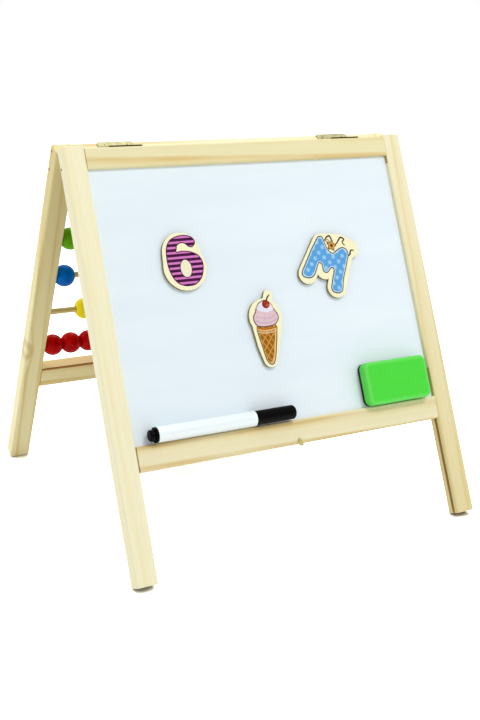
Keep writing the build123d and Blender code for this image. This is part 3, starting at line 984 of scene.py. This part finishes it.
@dataclass
class Eraser:
    """The green foam eraser with its felt pad, standing on the ledge against the board."""

    left: float = 67.6
    width: float = 62.0
    height: float = 35.4
    bottom: float = 227.8
    felt: float = 3.2
    foam: float = 8.6
    corner: float = 5.5
    edge: float = 2.2

    def loop(self, inset: np.ndarray, steps: int = 12) -> np.ndarray:
        """Rounded rectangles, one per inset.

        Each corner is a quarter circle about a fixed centre; its radius is the corner radius less the
        inset, and past that the straight sides move in instead.

        Args:
            inset: Millimetres that each rectangle is smaller than the block all round.
            steps: Points on a corner.

        Returns:
            Points with U and W last, one row per inset.
        """
        inset = np.asarray(inset, float)[:, None]
        angle = (np.linspace(0, math.pi / 2, steps)[None] + np.arange(4)[:, None] * math.pi / 2).ravel()
        sign_u = np.repeat([1, -1, -1, 1], steps)
        sign_w = np.repeat([1, 1, -1, -1], steps)
        radius = np.maximum(self.corner - inset, 0.02)
        u = sign_u * (self.width / 2 - inset - radius) + radius * np.cos(angle)
        w = sign_w * (self.height / 2 - inset - radius) + radius * np.sin(angle)
        return np.stack([u, w], -1)

    def block(self, inset: np.ndarray, height: np.ndarray, base: float) -> tuple[np.ndarray, list]:
        """A block of rounded rectangles.

        Args:
            inset: How much smaller than the block each rectangle is all round.
            height: How far above the base each rectangle stands.
            base: The base's distance from the board.

        Returns:
            The points and the faces.
        """
        loops = self.loop(inset)
        x = self.left + self.width / 2 + loops[..., 0]
        out = STANCE.board_face + base + np.asarray(height)[:, None]
        points = STANCE.place(Side.FRONT, x, out, self.bottom - self.height / 2 - loops[..., 1])
        return points, tube_faces(*loops.shape[:2])

    def build(self) -> None:
        """Makes the foam block and the felt pad."""
        turn = np.linspace(0, math.pi / 2, 7)
        side = self.foam - self.edge
        # the foot is eased by half a millimetre, and the face swells by 0.2 mm towards its middle
        inset = np.concatenate([[0.5, 0.15, 0.0], self.edge * (1 - np.cos(turn)), [4, 7, 11, 15.5]])
        swell = self.foam + np.array([0.05, 0.12, 0.18, 0.2])
        height = np.concatenate([[0.0, 0.15, 0.6], side + self.edge * np.sin(turn), swell])
        points, faces = self.block(inset, height, self.felt)
        # painted highlight: the rounded front edge is painted paler, where light catches it
        pale = np.clip(1 - np.abs(inset - 1.0) / self.edge, 0, 1) * (height > side - 0.5)
        pale = {"edge": np.repeat(pale[:, None], points.shape[1], axis=1)}
        green = Speckled(
            "EVA foam, cut and skinned, green", "#4ADC3A", "#44D234", 0.9, 0.14, 0.6, 0.1,
            ior=1.4, specular=0.3, threshold=(0.3, 0.6), painted_highlight_colour="#6BE460").build()
        stands_for = ("eraser_foam_block",)
        block = Piece("eraser_foam", points, faces, [green], "eraser", stands_for, attributes=pale)
        block.make()
        # the felt's cut edge bulges by less than half a millimetre
        inset = np.array([0.7, 0.3, 0.25, 0.3, 0.7])
        height = self.felt * np.array([0.0, 0.15, 0.5, 0.85, 1.0])
        points, faces = self.block(inset, height, 0.0)
        black = Speckled(
            "wool felt, pressed, black", "#0C0C0D", "#17181A", 0.35, 0.8, 0.95, 0.1, specular=0.15).build()
        pad = Piece("eraser_felt", points, faces, [black], "eraser", ("eraser_felt_pad",))
        pad.make()


def cubic(p0: np.ndarray, p1: np.ndarray, p2: np.ndarray, p3: np.ndarray, s: np.ndarray) -> np.ndarray:
    """Points on cubic stretches whose end slopes are half the chord across the neighbouring points.

    Args:
        p0: Points before the stretches.
        p1: Where the stretches start.
        p2: Where they end.
        p3: Points after them.
        s: Shares of a stretch, from 0 to 1.

    Returns:
        U and W of the points, stretch after stretch.
    """
    square, cube = 2 * p0 - 5 * p1 + 4 * p2 - p3, 3 * p1 - p0 - 3 * p2 + p3
    return (2 * p1 + (p2 - p0) * s + square * s ** 2 + cube * s ** 3).reshape(-1, 2) / 2


def beside(along: np.ndarray) -> np.ndarray:
    """Unit vectors to the left of those directions."""
    return np.stack([-along[:, 1], along[:, 0]], -1) / np.linalg.norm(along, axis=1, keepdims=True)


def smooth_loop(points: list[Pair], steps: int = 8) -> np.ndarray:
    """A closed smooth outline through the points.

    Args:
        points: U and W of the points, in order round the outline.
        steps: Points on each stretch.

    Returns:
        The outline's points.
    """
    here = np.asarray(points, float)[:, None]
    before, after, beyond = np.roll(here, 1, 0), np.roll(here, -1, 0), np.roll(here, -2, 0)
    return cubic(before, here, after, beyond, np.linspace(0, 1, steps, endpoint=False)[None, :, None])


def inset_loop(loop: np.ndarray, amount: float) -> np.ndarray:
    """An outline moved inwards along its own normals.

    Args:
        loop: The outline, which may run either way round.
        amount: How far it moves.

    Returns:
        The smaller outline.
    """
    after = np.roll(loop, -1, 0)
    normal = beside(after - np.roll(loop, 1, 0))
    area = np.sum(loop[:, 0] * after[:, 1] - loop[:, 1] * after[:, 0])
    return loop + normal * (amount if area > 0 else -amount)


def ellipse(u: float, w: float, width: float, height: float, tilt: float = 0.0) -> np.ndarray:
    """An ellipse: width cos t and height sin t, halved and turned by the tilt.

    Args:
        u: Its middle, to the right.
        w: Its middle, upwards.
        width: Its first diameter.
        height: Its second diameter.
        tilt: How far it is turned, in degrees.

    Returns:
        The outline's points.
    """
    angle = np.linspace(0, 2 * math.pi, 48, endpoint=False)
    a, b = width / 2 * np.cos(angle), height / 2 * np.sin(angle)
    c, s = math.cos(math.radians(tilt)), math.sin(math.radians(tilt))
    return np.stack([u + a * c - b * s, w + a * s + b * c], -1)


def ribbon(points: list[Pair], width: float, steps: int = 10) -> np.ndarray:
    """The outline of a pen line drawn smoothly through the points.

    Half the width lies on each side. It swells along the line as 0.45 + 0.55 sin t, so that the ends
    are thinner than the middle.

    Args:
        points: U and W of the points along the line.
        width: The line's greatest width.
        steps: Points on each stretch.

    Returns:
        The outline's points.
    """
    p = np.asarray(points, float)
    p = np.concatenate([[2 * p[0] - p[1]], p, [2 * p[-1] - p[-2]]])[:, None]
    line = cubic(p[:-3], p[1:-2], p[2:-1], p[3:], np.linspace(0, 1, steps)[None, :, None])
    line = line[np.concatenate([[True], np.linalg.norm(np.diff(line, axis=0), axis=1) > 1e-6])]
    swell = 0.45 + 0.55 * np.sin(np.linspace(0.25, math.pi - 0.25, len(line)))
    half = beside(np.gradient(line, axis=0)) * (width / 2 * swell)[:, None]
    return np.concatenate([line + half, (line - half)[::-1]])


@dataclass
class PictureMagnet:
    """A printed wooden cut-out: its place on the board and its layers of ink, with sizes in millimetres."""

    name: str
    x: float
    drop: float
    layers: list[tuple[np.ndarray, Ink]]
    film: float = 0.03
    lift: float = 0.01

    def build(self, wood: Material, ferrite: Material) -> None:
        """Dresses the cut-out and prints its layers, each a thin slab on the one before.

        Args:
            wood: Finish of the cut-out.
            ferrite: Finish of the disc magnet in its back.
        """
        dress(wood, f"{self.name}_cutout")
        dress(ferrite, f"{self.name}_disc_magnet")
        inks = list(dict.fromkeys(ink for _, ink in self.layers))
        bottom = STANCE.board_face + STANCE.cutout + self.lift
        points, faces, finish_of, start = [], [], [], 0
        for number, (loop, ink) in enumerate(self.layers):
            u, w = loop.T[:, None]
            levels = np.array([bottom, bottom + self.film * (number + 1)])[:, None]
            points.append(STANCE.place(Side.FRONT, self.x + u, levels, self.drop - w).reshape(-1, 3))
            slab = tube_faces(2, len(loop), start)
            faces += slab
            finish_of += [inks.index(ink)] * len(slab)
            start += 2 * len(loop)
        finishes = [ink.build() for ink in inks]
        body = f"{self.name}_magnet"
        Piece(f"{self.name}_print", np.concatenate(points), faces, finishes, body, finish_of=finish_of).make()


def figure_six() -> PictureMagnet:
    """The striped figure six.

    Returns:
        The magnet with its layers, the lowest first.
    """
    plum = Ink("plum screen ink", "#4B0041")
    stripes = Ink(
        "pink and plum striped screen ink", "#D97DC5", "#430039", Motif.STRIPES, 4.02, -0.74, (-0.4, 0.0))
    cream = Ink("cream screen ink", "#F6F0D0")
    outline = smooth_loop([
        (1.8, 20.7), (-4.0, 19.9), (-9.2, 17.5), (-12.3, 13.8), (-13.9, 9.5), (-14.6, 1.7),
        (-14.1, -5.3), (-11.7, -12.5), (-7.9, -17.2), (-3.1, -19.4), (1.6, -19.8), (6.6, -19.0),
        (12.2, -14.7), (15.3, -7.9), (15.8, -1.7), (13.8, 2.9), (11.0, 5.4), (5.1, 7.7), (-0.6, 8.3),
        (-4.9, 7.9), (-4.5, 10.1), (-3.5, 12.7), (0.1, 14.3), (3.3, 13.3), (5.7, 11.1), (8.5, 10.4),
        (10.9, 12.0), (12.1, 14.1), (11.6, 16.4), (9.6, 18.7), (6.5, 20.1)])
    layers = [
        (outline, plum),
        (inset_loop(outline, 0.8), stripes),
        (ellipse(0.6, -5.8, 10.4, 14.8), plum),
        (ellipse(0.6, -5.8, 9.2, 13.6), cream),
    ]
    return PictureMagnet("six", -71.8, 93.4, layers)


def ice_cream() -> PictureMagnet:
    """A cone with a pink scoop, a white top and a cherry.

    Returns:
        The magnet with its layers, the lowest first.
    """
    brown = Ink("brown screen ink", "#624630")
    pink = Ink("pale pink screen ink", "#E4C6CC")
    lilac = Ink("lilac screen ink", "#D0B4C6")
    white = Ink("white screen ink", "#EDE8F3")
    wafer = Ink(
        "wafer screen ink with a lattice", "#9E620A", "#D39C42", Motif.LATTICE, 7.4, step=(0.72, 0.92))
    crust = Ink("dark wafer screen ink", "#54340C")
    toast = Ink("toasted wafer screen ink", "#BC741C")
    light = Ink("light wafer screen ink", "#EAC38C")
    red = Ink("cherry red screen ink", "#A5301A")
    dark = Ink("dark cherry screen ink", "#6A160C")
    glint = Ink("orange screen ink, glint", "#D4663A")
    scoop = smooth_loop([
        (-7.9, 2.6), (-9.9, 5.0), (-10.8, 8.3), (-9.9, 11.7), (-8.0, 14.2), (-7.1, 16.4), (-5.5, 18.9),
        (-3.6, 21.0), (-0.1, 22.6), (3.5, 22.8), (6.1, 20.9), (8.1, 18.4), (9.1, 15.6), (10.6, 13.2),
        (12.1, 10.3), (12.2, 7.1), (10.6, 4.6), (8.4, 2.6), (5.1, 1.6), (-1.1, 1.3), (-5.1, 1.7)])
    cone = smooth_loop([
        (-8.3, 3.1), (-9.3, 0.0), (-8.9, -4.5), (-8.0, -9.9), (-7.1, -15.4), (-6.3, -20.8),
        (-5.2, -25.4), (-3.2, -28.2), (-1.4, -29.0), (0.8, -28.4), (2.6, -25.5), (4.5, -20.4),
        (5.8, -15.2), (7.3, -9.9), (8.6, -3.8), (9.3, 1.1), (4.0, 4.0), (-4.0, 4.6)])
    cream_top = smooth_loop([
        (-6.3, 17.0), (-4.9, 15.2), (-1.5, 13.5), (3.4, 12.9), (7.4, 14.0), (8.6, 15.6), (7.6, 18.2),
        (5.6, 20.6), (3.2, 22.2), (-0.1, 22.0), (-3.3, 20.5), (-5.0, 18.7)])
    layers = [
        (ribbon([(3.8, 21.4), (4.9, 24.2), (7.6, 26.9)], 1.3), brown),
        (cone, crust),
        (inset_loop(cone, 0.8), light),
        (inset_loop(cone, 1.6) - (0.5, -0.3), wafer),
        (ribbon([(-9.2, 1.0), (-4.0, -0.6), (2.0, -0.9), (9.0, 0.3)], 3.4), toast),
        (ribbon([(-8.8, 0.2), (-4.0, -1.4), (2.0, -1.7), (8.8, -0.6)], 1.1), light),
        (ribbon([(-8.8, -1.8), (-4.0, -3.2), (2.0, -3.4), (8.6, -2.4)], 1.0), light),
        (scoop, brown),
        (inset_loop(scoop, 0.75), pink),
        (ribbon([(-9.0, 7.0), (-3.0, 4.8), (4.0, 4.6), (10.8, 7.0)], 1.2), lilac),
        (ribbon([(-8.4, 10.8), (-3.0, 8.6), (4.0, 8.2), (10.6, 10.4)], 0.9), lilac),
        (cream_top, white),
        (ellipse(2.7, 19.4, 6.8, 6.6), dark),
        (ellipse(2.9, 19.3, 5.6, 5.4), red),
        (ellipse(4.0, 18.5, 2.2, 1.7, 30), glint),
    ]
    return PictureMagnet("ice_cream", -10.4, 153.4, layers)


def letter() -> PictureMagnet:
    """A dotted blue letter with a small flower on a curling stem.

    Returns:
        The magnet with its layers, the lowest first.
    """
    teal = Ink("teal screen ink", "#3A5C66")
    white = Ink("white screen ink", "#EAF2F8")
    blue = Ink("sky blue screen ink with pale dots", "#5CA4E0", "#9AD2F2", Motif.DOTS, 8.8, step=(0.05, 0.8))
    orange = Ink("orange screen ink", "#D99A48")
    brown = Ink("brown screen ink", "#54380F")
    cream = Ink("cream screen ink", "#EBDDB0")
    outline = smooth_loop([
        (-2.8, 25.2), (-5.6, 24.4), (-7.6, 22.3), (-10.0, 19.3), (-13.7, 14.9), (-17.5, 9.6),
        (-21.3, 4.4), (-25.2, -0.9), (-26.9, -4.0), (-26.4, -6.8), (-23.6, -8.5), (-19.5, -9.1),
        (-16.0, -7.9), (-13.6, -5.2), (-11.4, -1.6), (-9.6, 1.5), (-8.0, 2.6), (-6.5, 1.2),
        (-6.3, -1.6), (-6.2, -4.0), (-4.4, -6.0), (-1.5, -5.8), (0.9, -3.6), (2.8, -2.5), (4.0, -3.4),
        (3.8, -5.8), (2.1, -9.4), (0.3, -13.9), (-1.3, -18.4), (-1.1, -21.3), (1.2, -23.4),
        (4.8, -24.2), (8.3, -23.1), (10.1, -20.5), (11.3, -15.9), (13.4, -10.4), (16.5, -4.1),
        (19.4, 2.3), (21.3, 6.9), (21.0, 10.8), (18.8, 13.3), (15.6, 14.0), (12.1, 12.9), (8.9, 11.2),
        (6.5, 10.0), (4.0, 11.2), (1.9, 14.2), (0.8, 18.0), (0.0, 21.6), (-0.9, 24.1)])
    turn = np.linspace(0, 2 * math.pi, 80, endpoint=False)
    middle = np.array([6.4, 16.2])
    stem = [
        (9.8, 16.4), (12.2, 18.0), (14.4, 20.4), (16.8, 22.4), (19.6, 20.6), (17.6, 18.2), (19.6, 15.2)]
    petals = (3.7 + 0.9 * np.cos(5 * turn))[:, None] * np.stack([np.cos(turn), np.sin(turn)], -1)
    layers = [
        (ribbon(stem, 1.4), brown),
        (ribbon([(20.2, 5.6), (23.0, 7.6), (24.4, 10.6), (27.4, 10.6)], 1.4), brown),
        (ribbon([(0.6, 21.0), (3.2, 23.6), (6.0, 24.4), (7.4, 21.4), (6.6, 18.6)], 1.4), brown),
        (ellipse(3.4, 20.4, 5.2, 2.6, -40), brown),
        (ellipse(3.4, 20.4, 3.9, 1.5, -40), cream),
        (outline, teal),
        (inset_loop(outline, 0.95), white),
        (inset_loop(outline, 1.55), blue),
        (petals + middle, brown),
        (petals * 0.82 + middle, orange),
        (ellipse(*middle, 2.6, 2.6), brown),
    ]
    return PictureMagnet("letter", 57.8, 107.8, layers)


@dataclass
class StayCord:
    """The twisted cotton cord between the bottom rails, with a stop knot on each outer face.

    Sizes are in millimetres. The knot is a trefoil, a little flattened, whose middle stands out from
    the rail's face and hangs below the rail's hole.
    """

    diameter: float = 2.2
    lay: float = 7.0
    strand: float = 0.5
    knot_scale: float = 0.52
    knot_flatten: float = 0.88
    knot_cord_radius: float = 0.92
    knot_out: float = 1.75
    knot_drop: float = 2.6
    front_hole: float = 244.2
    rear_hole: float = 238.7
    route: tuple[Triple, ...] = (
        (0, -103.0, 75.7), (0, -80.7, 67.7), (0, -42.0, 58.8), (0, -1.1, 56.3),
        (0, 39.7, 60.8), (0, 78.4, 71.6), (0, 100.7, 80.7))

    def line(self) -> np.ndarray:
        """The smooth curve that the route's points control.

        Returns:
            Points along the curve, in metres.
        """
        curve = bpy.data.curves.new("stay_cord_route", "CURVE")
        curve.dimensions = "3D"
        spline = curve.splines.new("NURBS")
        spline.points.add(len(self.route) - 1)
        spline.points.foreach_set("co", np.array([(*p, 1000.0) for p in self.route]).ravel() * MM)
        spline.order_u = 3
        spline.use_endpoint_u = True
        spline.resolution_u = 48
        holder = bpy.data.objects.new("stay_cord_route", curve)
        mesh = bpy.data.meshes.new_from_object(holder)
        points = np.empty(len(mesh.vertices) * 3)
        mesh.vertices.foreach_get("co", points)
        bpy.data.objects.remove(holder)
        bpy.data.curves.remove(curve)
        bpy.data.meshes.remove(mesh)
        return points.reshape(-1, 3)

    def tube(
            self, path: np.ndarray, radius: float, columns: int = 8, start: int = 0,
            closed: bool = False) -> tuple[np.ndarray, list]:
        """A round tube along a path.

        Its rings stand at right angles to the path. They are set out from the cross product of the
        path's direction with a slanting line, and from the cross product of those two.

        Args:
            path: Points along the middle of the tube.
            radius: The tube's radius.
            columns: Points round the tube.
            start: Number of its first point.
            closed: Whether the path is a loop.

        Returns:
            The points and the faces.
        """
        ahead = np.roll(path, -1, 0) - np.roll(path, 1, 0) if closed else np.gradient(path, axis=0)
        ahead = ahead / np.linalg.norm(ahead, axis=1, keepdims=True)
        side = np.cross(ahead, (0.31, 0.2, 0.93))
        side = side / np.linalg.norm(side, axis=1, keepdims=True)
        over = np.cross(ahead, side)
        angle = np.linspace(0, 2 * math.pi, columns, endpoint=False)[None, :, None]
        points = path[:, None] + radius * (side[:, None] * np.cos(angle) + over[:, None] * np.sin(angle))
        return points.reshape(-1, 3), tube_faces(len(path), columns, start, closed)

    def strands(self, path: np.ndarray) -> tuple[np.ndarray, list]:
        """Three strands wound round a path, one turn to each lay length.

        Args:
            path: Points along the middle of the cord, in metres.

        Returns:
            The points and the faces.
        """
        step = np.linalg.norm(np.diff(path, axis=0), axis=1)
        run = np.concatenate([[0], np.cumsum(step)])
        even = np.linspace(0, run[-1], 300)
        path = np.stack([np.interp(even, run, path[:, i]) for i in range(3)], -1)
        ahead = np.gradient(path, axis=0)
        ahead = ahead / np.linalg.norm(ahead, axis=1, keepdims=True)
        across = np.array([1.0, 0, 0])
        over = np.cross(ahead, across)
        reach = (self.diameter / 2 - self.strand) * MM
        points, faces, start = [], [], 0
        for third in range(3):
            turn = (2 * math.pi * (even / (self.lay * MM) + third / 3))[:, None]
            wound = path + reach * (across * np.cos(turn) + over * np.sin(turn))
            made, closed = self.tube(wound, self.strand * MM, start=start)
            points.append(made)
            faces += closed
            start += len(made)
        return np.concatenate(points), faces

    def knot(self, side: Side, drop: float) -> tuple[np.ndarray, list]:
        """A trefoil pulled tight on the rail's face, and the cord's end in the rail's hole.

        The trefoil is (sin t + 2 sin 2t, cos t - 2 cos 2t, -sin 3t), scaled to the knot's width.

        Args:
            side: The frame.
            drop: How far the hole is below the frame's top.

        Returns:
            The points and the faces.
        """
        t = np.linspace(0, 2 * math.pi, 72, endpoint=False)
        u, w, n = np.sin(t) + 2 * np.sin(2 * t), np.cos(t) - 2 * np.cos(2 * t), -np.sin(3 * t)
        out = STANCE.stock + self.knot_out + self.knot_scale * n
        down = drop + self.knot_drop - self.knot_flatten * self.knot_scale * w
        loop = STANCE.place(side, self.knot_scale * u, out, down)
        points, faces = self.tube(loop, self.knot_cord_radius * MM, 10, closed=True)
        # the end starts just inside the inner face and stops within the knot
        inside = STANCE.place(side, 0, np.linspace(0.4, STANCE.stock + 1.4, 12), drop)
        end, more = self.tube(inside, self.diameter / 2 * MM, 10, start=len(points))
        return np.concatenate([points, end]), faces + more

    def build(self) -> None:
        """Makes the cord and its knots."""
        cotton = Speckled("cotton cord, twisted, undyed", "#DCD38C", "#C4B86C", 0.5, 0.6, 0.85, 0.2).build()
        path = self.line()
        points, faces = self.strands(path)
        cord = Piece("stay_cord_twisted", points, faces, [cotton], stands_for=("stay_cord",)).make()
        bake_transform(cord, "front_frame", "rear_frame", start=path[0], end=path[-1])
        for side, drop in ((Side.FRONT, self.front_hole), (Side.REAR, self.rear_hole)):
            name = side.name.lower()
            points, faces = self.knot(side, drop)
            stands_for = (f"{name}_cord_knot",)
            Piece(f"{name}_stop_knot", points, faces, [cotton], f"{name}_frame", stands_for).make()


@dataclass
class Studio:
    """Camera, lamps, pale floor and white surround.

    The eye is in millimetres and the angles are in degrees. The focal length and the point of the image
    that the camera looks at are in pixels. Places and sizes of the lamps and the floor are in metres.
    """

    eye: Triple = (-453.0, -817.7, 406.5)
    yaw: float = 29.2
    pitch: float = -16.0
    roll: float = 1.48
    focal_pixels: float = 1133.5
    middle: Pair = (235.8, 333.0)
    image: tuple[int, int] = (480, 720)
    sensor: float = 36.0
    ambient: float = 0.63
    floor_half: float = 8.0
    floor_drop: float = 0.0005
    contact: float = 0.01

    def camera(self) -> None:
        """Sets the camera where the picture was taken from."""
        yaw, pitch, roll = (math.radians(a) for a in (self.yaw, self.pitch, self.roll))
        ahead = Vector((math.sin(yaw) * math.cos(pitch), math.cos(yaw) * math.cos(pitch), math.sin(pitch)))
        level = Vector((math.cos(yaw), -math.sin(yaw), 0))
        up = level.cross(ahead)
        right = level * math.cos(roll) + up * math.sin(roll)
        up = up * math.cos(roll) - level * math.sin(roll)
        data = bpy.data.cameras.new("camera")
        wide, high = self.image
        data.sensor_width = self.sensor
        data.lens = self.focal_pixels * self.sensor / high
        data.shift_x = (wide / 2 - self.middle[0]) / high
        data.shift_y = (self.middle[1] - high / 2) / high
        made = put("camera", data)
        turn = Matrix((right, up, -ahead)).transposed().to_4x4()
        made.matrix_world = Matrix.Translation(Vector(self.eye) * MM) @ turn
        bpy.context.scene.camera = made

    def lamp(self, name: str, place: Triple, aim: Triple, size: float, power: float) -> None:
        """A square soft box.

        Args:
            name: The lamp's name.
            place: Where it stands.
            aim: The point that it faces.
            size: Its width.
            power: Its power in watts.
        """
        data = bpy.data.lights.new(name, "AREA")
        data.size, data.energy = size, power
        facing = (Vector(aim) - Vector(place)).to_track_quat("-Z", "Y").to_matrix().to_4x4()
        put(name, data).matrix_world = Matrix.Translation(place) @ facing

    def seen(self, tree: Tree) -> Socket:
        """1 for rays from the camera, a gloss or a glass, 0 for rays that light something.

        Args:
            tree: The tree that gets the nodes.

        Returns:
            The output with that number.
        """
        rays = add(tree, "LightPath", {}).node.outputs
        seen = rays["Is Camera Ray"]
        for kind in ("Is Glossy Ray", "Is Transmission Ray"):
            seen = add(tree, "Math", {0: seen, 1: rays[kind]}, operation="MAXIMUM")
        return seen

    def surround(self) -> None:
        """A white world that lights the object softly and is pure white to the eye."""
        world = bpy.data.worlds.new("white surround")
        bpy.context.scene.world = world
        world.use_nodes = True
        tree = world.node_tree
        strength = add(tree, "MapRange", {"Value": self.seen(tree), "To Min": self.ambient, "To Max": 1.0})
        fill(tree, tree.nodes["Background"], {"Strength": strength, "Color": (1, 1, 1, 1)})

    def floor(self) -> None:
        """A wide pale floor, white to the eye where it is lit, that keeps the shadows at the feet."""
        made, tree = blank("pale studio floor")
        # the contact shadow lies close to the feet
        clear = add(tree, "AmbientOcclusion", {"Distance": self.contact}, "AO", samples=16)
        limits = {"From Min": 0.15, "From Max": 0.7, "To Min": 0.35, "To Max": 2.1}
        white = add(tree, "MapRange", {"Value": clear, **limits})
        tone = add(tree, "MapRange", {"Value": self.seen(tree), "To Min": 0.88, "To Max": white})
        tone = add(tree, "CombineXYZ", {0: tone, 1: tone, 2: tone})
        pale = add(tree, "BsdfDiffuse", {"Color": tone})
        fill(tree, tree.nodes["Material Output"], {"Surface": pale})
        mesh = bpy.data.meshes.new("floor")
        far, down = self.floor_half, -self.floor_drop
        corners = [(-far, -far, down), (far, -far, down), (far, far, down), (-far, far, down)]
        mesh.from_pydata(corners, [], [(0, 1, 2, 3)])
        mesh.materials.append(made)
        put("floor", mesh)

    def build(self) -> None:
        """Sets up the whole studio."""
        bpy.context.scene.view_settings.view_transform = "Standard"
        self.camera()
        self.surround()
        self.floor()
        self.lamp("key soft box", (0.35, -1.0, 1.75), (0, -0.05, 0.15), 0.4, 12.2)
        self.lamp("right soft box", (1.2, -1.0, 0.6), (0.05, -0.05, 0.15), 0.9, 0.9)
        self.lamp("left soft box", (-0.95, 0.42, 1.0), (0, 0.05, 0.15), 0.2, 3.2)
        self.lamp("back soft box", (0.5, 0.9, 1.5), (0, 0.05, 0.15), 0.9, 6.0)


def main() -> None:
    """Builds the easel's looks piece by piece."""
    logging.basicConfig(level=logging.INFO, format="%(message)s")
    TimberFrames().build()
    BeadRows().build()
    Marker().build()
    Eraser().build()
    wood = CutoutWood().build()
    ferrite = Speckled("ferrite magnet, sintered", "#2C2B2B", "#1C1B1B", 0.4, 0.3, 0.6).build()
    for magnet in (figure_six(), ice_cream(), letter()):
        magnet.build(wood, ferrite)
    StayCord().build()
    Studio().build()


if __name__ == "__main__":
    main()
